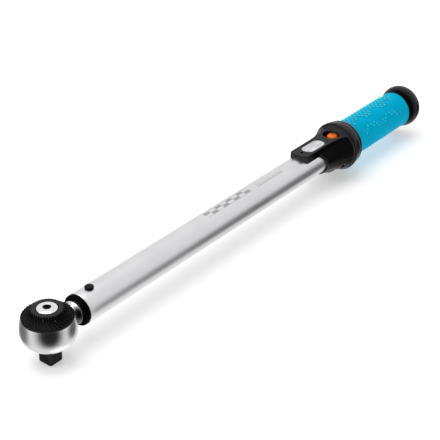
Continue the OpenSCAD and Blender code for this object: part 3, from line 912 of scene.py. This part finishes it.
def make_upper_housing():
    shell = housing_solid("upper_shell")
    combine(shell, "DIFFERENCE", tube_hole(TUBE_R), box_shape((*AROUND[0], -40), (*AROUND[1], SPLIT_Z)))
    panel_edge, panel_sink, lens_gap = 1.8, 0.25, 0.02
    panel = prism(slot_outline(HOUSING_X0 + 3.2, WINDOW_X1 + 4.2, WINDOW_HALF + panel_edge),
                  PLATE_Z - panel_sink, PLATE_Z + 3)
    window = prism(slot_outline(WINDOW_X0 - lens_gap, WINDOW_X1 + lens_gap, WINDOW_HALF + lens_gap),
                   15.1, OUTSIDE)
    view = box_shape((WINDOW_X0, -5.8, 13), (WINDOW_X1, 5.8, 15.2))
    tray = box_shape((WINDOW_X0 - 3, -7.5, 10), (WINDOW_X1 + 3, 4.7, 14.1))
    arm = box_shape((333.4, 4.5, 10), (WINDOW_X1 + 3, 6.1, 14.9))
    pocket = prism(slot_outline(374.4, 391, 8.2), 12.4, OUTSIDE)
    well_r, well_z = BUTTON_R + 0.25, (5, 12.5)
    well = upright([(0, well_z[0]), (well_r, well_z[0]), (well_r, well_z[1]), (0, well_z[1])], BUTTON_X, 64)
    bore_r, head_r, sink_r = 0.6, 1.15, 1.9
    dot = upright([(0, 13), (bore_r, 13), (bore_r, 15), (head_r, 15), (head_r, PLATE_Z - 0.7),
                   (sink_r, PLATE_Z + 0.1), (sink_r, OUTSIDE), (0, OUTSIDE)], DOT_X, 48)
    combine(shell, "DIFFERENCE", panel, window, view, tray, arm, pocket, well, dot)
    finish(shell, "tube", "black_plastic", "upper_housing", crease=20)


def make_lower_housing():
    shell = housing_solid("lower_shell")
    screw_x, screw_y, head_r, head_z, shank_r = 383, 16.2, 2.1, -8, 1.5
    screw = upright([(0, -30), (head_r, -30), (head_r, head_z), (shank_r, head_z), (shank_r, 0), (0, 0)],
                    screw_x, 48)
    holes = [([(x, y + side * screw_y, z) for x, y, z in screw[0]], screw[1]) for side in (-1, 1)]
    above = box_shape((*AROUND[0], SPLIT_Z - 0.02), (*AROUND[1], 40))
    combine(shell, "DIFFERENCE", tube_hole(TUBE_R), above, *holes)
    finish(shell, "tube", "black_plastic", "lower_housing", crease=20)
    # the tongue takes a grey colour: a painted reflection of the floor
    finish(make("shell_tongue", tongue_shape()), "tube", "black_plastic", look=TONGUE_FLOOR_REFLECTION)


def make_lens():
    low, high = height_of("window_lens")
    outline = slot_outline(WINDOW_X0, WINDOW_X1, WINDOW_HALF, 20)
    rings = [[(x, y, low) for x, y in outline], [(x, y, high - 0.75) for x, y in outline]]
    for gap, rise in ((0.12, 0.55), (0.45, 0.42), (1.2, 0.3), (2.4, 0.14), (3.8, 0.04)):
        rings.append([(x, y, high - rise) for x, y in inset(outline, gap)])
    spine_x0, spine_x1 = WINDOW_X0 + WINDOW_HALF, WINDOW_X1 - WINDOW_HALF
    spine = [(min(max(x, spine_x0), spine_x1), y * 0.05, high) for x, y in outline]
    points, faces = skin(rings + [spine])
    count = len(outline)
    faces += [list(range(count)), list(range(len(points) - count, len(points)))]
    lens = make("scale_window", (points, faces))
    finish(lens, "tube", "clear_lens", "window_lens", crease=50)


def make_scale():
    """Silver plate with printed ticks under the window."""
    low, high = height_of("scale_plate")
    x0, x1 = span("scale_plate", "x")
    y0, y1 = span("scale_plate", "y")
    plate = make("scale_backing", prism([(x0, y0), (x1, y0), (x1, y1), (x0, y1)], low, high, 0.1, 2))
    finish(plate, "tube", "scale_silver", "scale_plate")
    ticks = []
    for i in range(25):
        x = WINDOW_X0 + 2.5 + i
        length = 3.0 if i % 6 == 0 else 2.0 if i % 3 == 0 else 1.2
        ticks.append(box_shape((x - 0.1, 4.4 - length, high - 0.03), (x + 0.1, 4.4, high + 0.03)))
    finish(make("scale_ticks", joined(*ticks)), "tube", "scale_silver", look=PRINTED)


def padlock(gap, shackle_low, case_low, shackle_high, case_high):
    """A plain ring and box in the button's top, each smaller all round by gap."""
    x = BUTTON_X + 0.3
    inner, outer = 0.85 + gap, 1.35 - gap
    section = [(inner, shackle_low), (outer, shackle_low), (outer, shackle_high), (inner, shackle_high)]
    shackle = upright(section, x - 1.0, 40, loop=True)
    x0, x1, half = x - 0.4 + gap, x + 1.3 - gap, 1.25 - gap
    return shackle, prism([(x0, -half), (x1, -half), (x1, half), (x0, half)], case_low, case_high)


def make_button():
    """Orange dome with a stem and a plain padlock sunk into its top."""
    low, high = height_of("lock_button")
    rim_z, skirt_z, hollow_r, hollow_z, stem_r = 13.4, 11.3, 4.0, 12.8, 1.6
    dome = [(BUTTON_R * cos(t), rim_z + (high - rim_z) * sin(t))
            for t in (pi / 2 * i / 16 for i in range(1, 16))]
    profile = [(0, low), (stem_r - 0.2, low), (stem_r, low + 0.2), (stem_r, hollow_z), (hollow_r, hollow_z),
               (hollow_r, skirt_z), (BUTTON_R - 0.15, skirt_z), (BUTTON_R, skirt_z + 0.15),
               (BUTTON_R, rim_z), *dome, (0, high)]
    button = make("lock_dome", upright(profile, BUTTON_X, 80))
    combine(button, "DIFFERENCE", *padlock(0, high - 0.5, high - 0.5, OUTSIDE, OUTSIDE))
    finish(button, "button", "orange_plastic", "lock_button", crease=35)
    fill = joined(*padlock(0.01, high - 0.51, high - 0.52, high - 0.3, high - 0.35))
    finish(make("lock_symbol", fill), "button", "orange_plastic", crease=35, look=SYMBOL)


# ---- turning grip ----

RING_R = radius_of("front_ring")
GRIP_R = radius_of("grip_sleeve")
CORE_R = radius_of("handle_core")
CAP_X1 = span("end_cap", "x")[1]
CAP_R = radius_of("end_cap")
BODY_BORE_R = TUBE_R + 0.3
SLEEVE_R = GRIP_R - 0.35  # the sleeve between its dots


def make_ring():
    """Black ring whose front rim is finely toothed."""
    teeth = 96
    segments = teeth * 6
    length = RING_X1 - RING_X0
    rows = [(0, BODY_BORE_R, 0), (0, RING_R - 1.3, 0), (0.1, RING_R - 0.9, 0.4), (0.35, RING_R - 0.3, 1),
            (0.8, RING_R, 1), (1.4, RING_R, 1), (2.0, RING_R - 0.05, 1), (2.3, RING_R - 0.1, 0.3),
            (2.6, RING_R - 0.15, 0), (5, RING_R - 0.5, 0), (7.5, RING_R - 0.95, 0), (9.4, RING_R - 1.3, 0),
            (9.9, 22.85, 0), (10.1, 22.55, 0), (10.7, 22.5, 0), (11.0, 22.75, 0), (11.3, 22.95, 0),
            (12.4, 22.75, 0), (13.5, 22.35, 0), (14.2, 21.9, 0), (length, 21.2, 0), (length, BODY_BORE_R, 0)]
    rings = []
    for along, r, share in rows:
        ring = []
        for i in range(segments):
            turn = tau * i / segments
            deep = 0.32 * share * abs(cos(teeth / 2 * turn)) ** 4
            ring.append((RING_X0 + along, (r - deep) * sin(turn), (r - deep) * cos(turn)))
        rings.append(ring)
    finish(make("turning_ring", skin(rings, loop=True)), "grip", "ring_plastic", "front_ring", crease=35)


DOME = ((-0.25, 1.0), (0.35, 0.9), (0.75, 0.62), (1.0, 0.0))
# levels of a thin dark disc under each dense dot, put there as painted shade round the dot
SHADE_DISC = ((-0.25, 1.0), (0.05, 1.0), (0.06, 0.0))


def dome_on_grip(x, turn, length, width, rise, slant, levels=DOME):
    """Small oval on the sleeve, at an angle from the top in degrees. A level is (height, width) as shares."""
    rings = []
    for lift, scale in levels:
        ring = []
        for k in range(8 if scale else 1):
            a = tau * k / 8
            u, v = length * scale * cos(a), width * scale * sin(a)
            along = u * cos(slant) - v * sin(slant)
            across = u * sin(slant) + v * cos(slant)
            r = SLEEVE_R + rise * lift
            t = radians(turn) + across / GRIP_R
            ring.append((x + along, -r * sin(t), r * cos(t)))
        rings.append(ring)
    points, faces = skin(rings)
    return points, faces + [list(range(8))]


def dense_dots(length, width, rise, levels=DOME):
    """Two bands of slanted ovals with wavy edges."""
    dots = []
    pitch, row_turn, first_x = 5.6, 9.4, GRIP_X0 + 4
    columns = int((GRIP_X1 - 4 - first_x) / pitch)
    for centre in (-30, 196):
        for row in range(-5, 6):
            for column in range(columns):
                x = first_x + pitch * (column + 0.5 * (row % 2))
                reach = 43 + 8 * sin(tau * (x - GRIP_X0) / 26)
                if abs(row * row_turn) < reach:
                    dots.append(dome_on_grip(x, centre + row * row_turn, length, width, rise,
                                             radians(38), levels))
    return joined(*dots)


def sparse_dots():
    """A few small round dots in a wavy line beside each band."""
    dots = []
    pitch, row_turn, first_x = 5.6, 9.0, GRIP_X0 + 12
    columns = int((GRIP_X1 - 8 - first_x) / pitch)
    for centre in (54, -110):
        for row in (-1, 0, 1):
            for column in range(columns):
                x = first_x + pitch * (column + 0.5 * (row % 2))
                wave = 9 * sin(tau * (x - GRIP_X0) / 33)
                if abs(row * row_turn - wave) < 8:
                    dots.append(dome_on_grip(x, centre + row * row_turn, 0.8, 0.8, 0.9, 0))
    return joined(*dots)


def make_grip():
    corners = [(GRIP_X0, SLEEVE_R, 0.5), (GRIP_X1 - 1.5, SLEEVE_R, 0), (GRIP_X1 - 1.2, GRIP_R, 0.2),
               (GRIP_X1, GRIP_R, 0.2), (GRIP_X1, CORE_R, 0), (GRIP_X0, CORE_R, 0)]
    profile = soften(corners, 5)
    sleeve = make("grip_rubber", turned(profile, 200, loop=True))
    finish(sleeve, "grip", "blue_rubber", "grip_sleeve")
    # the dots are coloured lighter than the sleeve: a painted highlight
    dots = make("grip_dots", joined(dense_dots(1.9, 0.95, 1.2), sparse_dots()))
    finish(dots, "grip", "blue_rubber", crease=60, look=DOT_HIGHLIGHT_RUBBER)
    # thin dark discs round the dense dots: painted shade in the gaps
    shade_discs = make("grip_dot_shade_discs", dense_dots(2.5, 1.45, 1.2, SHADE_DISC))
    finish(shade_discs, "grip", "blue_rubber", crease=60, look=DOT_SHADE_RUBBER)


def make_end_cap():
    """Rubber cap with a short hollow flare, a wide rounded lip and a dished end."""
    start_r, flare_len, lip_drop = 18.7, 12.0, 5.0
    lip_len = CAP_X1 - GRIP_X1 - flare_len
    flare = [(GRIP_X1 + flare_len * t, start_r + (CAP_R - start_r) * (1 - cos(pi * t ** 1.2)) / 2)
             for t in (i / 16 for i in range(17))]
    lip = [(GRIP_X1 + flare_len + lip_len * sin(t), CAP_R - lip_drop * (1 - cos(t) ** 0.85))
           for t in (pi / 2 * i / 12 for i in range(1, 12))]
    dish = [(CAP_X1 - sink, r) for sink, r in (
        (0, CAP_R - lip_drop), (0, 13.2), (0.15, 12.6), (0.6, 12.1), (0.9, 11.4), (1.0, 10), (1.0, 4.6),
        (0.7, 4.3), (0.6, 3.8), (0.6, 0))]
    plug_x = 507
    inner = [(plug_x, 0), (plug_x, CORE_R), (GRIP_X1, CORE_R)]
    cap = make("flared_cap", turned(inner + flare + lip + dish, 180))
    finish(cap, "grip", "black_rubber", "end_cap")


# ---- springs that shorten ----

SPRING_X0, SPRING_X1 = span("main_spring", "x")
PLUNGER_TRAVEL = 0.8


def coil(r, wire, length, turns, steps=24, sides=10):
    """Closed coil of round wire about Z, from z = 0 up."""
    rise = (length - 2 * wire) / turns
    rings = []
    for i in range(turns * steps + 1):
        a = tau * i / steps
        ring = []
        for k in range(sides):
            t = tau * k / sides
            d = r + wire * cos(t)
            ring.append((d * cos(a), d * sin(a), wire + rise * i / steps + wire * sin(t)))
        rings.append(ring)
    points, faces = skin(rings)
    return points, faces + [list(range(sides)), list(range(len(points) - sides, len(points)))]


def make_main_spring():
    """Coil in the tube. The nut shortens it, and the plunger has room to move at its front end."""
    gap = PLUNGER_TRAVEL + 0.1
    mean_r, wire_r, turns = 9.2, 1.9, 22
    length = SPRING_X1 - SPRING_X0
    points, faces = coil(mean_r, wire_r, length - gap, turns)
    spring = make("long_spring", ([(SPRING_X0 + gap + z, y, -x) for x, y, z in points], faces))
    finish(spring, "tube", "spring_steel", "main_spring", crease=60)
    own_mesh(spring)


def make_lock_spring():
    """Small coil under the lock button."""
    low, high = height_of("lock_spring")
    mean_r, wire_r, turns = 2.9, 0.35, 4
    points, faces = coil(mean_r, wire_r, high - low, turns)
    spring = make("small_spring", ([(x + BUTTON_X, y, z + low) for x, y, z in points], faces))
    finish(spring, "tube", "spring_steel", "lock_spring", crease=60)
    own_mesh(spring)


# ---- pieces that keep their CAD shape ----


def dress_cad_nodes():
    """Every CAD node that still shows takes its record slot's finish."""
    slots = {part["node"]: part["material_slot"] for part in frame["record"]["subparts"]}
    for name, node in frame["nodes"].items():
        if not node.hide_render:
            node.data.materials.clear()
            node.data.materials.append(LOOKS[slots[name]])


# ---- stage ----

CAMERA_PLACE = (-0.5189, -0.5760, 0.5830)
CAMERA_TURN = -51.71
CAMERA_DOWN = 30.76
CAMERA_ROLL = 0.57
CAMERA_LENS = 100.32


def make_camera():
    data = bpy.data.cameras.new("camera")
    data.lens = CAMERA_LENS
    data.sensor_width = 36
    data.clip_end = 50
    camera = bpy.data.objects.new("camera", data)
    show(camera)
    camera.matrix_world = (Matrix.Translation(CAMERA_PLACE)
                           @ Matrix.Rotation(radians(CAMERA_TURN), 4, "Z")
                           @ Matrix.Rotation(radians(90 - CAMERA_DOWN), 4, "X")
                           @ Matrix.Rotation(radians(CAMERA_ROLL), 4, "Z"))
    bpy.context.scene.camera = camera


def make_floor():
    mesh = bpy.data.meshes.new("floor")
    size = 12
    corners = [(-size, -size, 0), (size, -size, 0), (size, size, 0), (-size, size, 0)]
    mesh.from_pydata(corners, [], [[0, 1, 2, 3]])
    floor = bpy.data.objects.new("floor", mesh)
    show(floor)
    floor.visible_glossy = False      # metal mirrors the studio, painted in the world, and not the bare plane
    paint = plain("floor_paint", (0.9, 0.9, 0.9), 0.8, grain=40, pits=0.02, tint=0.01,
                  Emission_Color=(1, 1, 1, 1), Emission_Strength=0.3)
    mesh.materials.append(paint)


def area_light(name, place, aim, size, power):
    data = bpy.data.lights.new(name, "AREA")
    data.shape = "DISK"
    data.size = size
    data.energy = power
    light = bpy.data.objects.new(name, data)
    show(light)
    light.location = place
    light.rotation_euler = (Vector(aim) - Vector(place)).to_track_quat("-Z", "Y").to_euler()


def sky_patch(tree, direction, azimuth, elevation, half_width, half_height):
    """1 in a soft oval patch of the sky and 0 outside it. Angles are in degrees, azimuths from +X."""
    width, height = sin(radians(half_width)), sin(radians(half_height))
    local = add_node(tree, "Mapping", Vector=direction, Scale=(1, width, height),
                     Rotation=(0, radians(-elevation), radians(azimuth)))
    local.vector_type = "TEXTURE"
    parts = add_node(tree, "SeparateXYZ", Vector=local.outputs["Vector"])
    flat = add_node(tree, "CombineXYZ", Y=parts.outputs["Y"], Z=parts.outputs["Z"])
    length = add_node(tree, "VectorMath", Vector=flat.outputs[0])
    length.operation = "LENGTH"
    masks = []
    for source, low, high in ((length.outputs["Value"], 1.35, 0.65), (parts.outputs["X"], 0.0, 0.15)):
        step = add_node(tree, "MapRange", From_Min=low, From_Max=high, Value=source)
        step.interpolation_type = "SMOOTHSTEP"
        masks.append(step.outputs["Result"])
    return math_node(tree, "MULTIPLY", *masks)


WALLS = 0.86
# azimuth, elevation, half width, half height and how much it darkens (or, below 0, brightens) the white room
SKY_PATCHES = ((-131, -1, 48, 49, 0.985), (-30, -17, 27, 19, 0.88), (112, -16, 32, 30, 0.8),
               (-45, -72, 26, 17, -0.5))


def make_studio():
    """White room with dark openings, so that bright metal has something to mirror."""
    world = bpy.data.worlds.new("studio")
    bpy.context.scene.world = world
    world.use_nodes = True
    tree = world.node_tree
    tree.nodes.clear()
    direction = add_node(tree, "TexCoord").outputs["Generated"]
    light = WALLS
    for *place, share in SKY_PATCHES:
        mask = sky_patch(tree, direction, *place)
        light = math_node(tree, "MULTIPLY", light, math_node(tree, "MULTIPLY_ADD", mask, -share, 1.0))
    background = add_node(tree, "Background", Strength=light, Color=(1, 1, 1, 1))
    add_node(tree, "OutputWorld", Surface=background.outputs[0])
    area_light("overhead", (0.0, 0.3, 1.6), (0.25, 0, 0), 1.4, 9)
    area_light("left", (-1.2, 0.9, 0.9), (0.1, 0, 0), 0.8, 5)
    bpy.context.scene.view_settings.view_transform = "Standard"


make_camera()
make_floor()
make_studio()
make_head()
make_dial()
make_cap()
make_drive()
make_tube()
make_marks()
make_collar()
make_pin()
make_upper_housing()
make_lower_housing()
make_lens()
make_scale()
make_button()
make_ring()
make_grip()
make_end_cap()
make_main_spring()
make_lock_spring()
dress_cad_nodes()
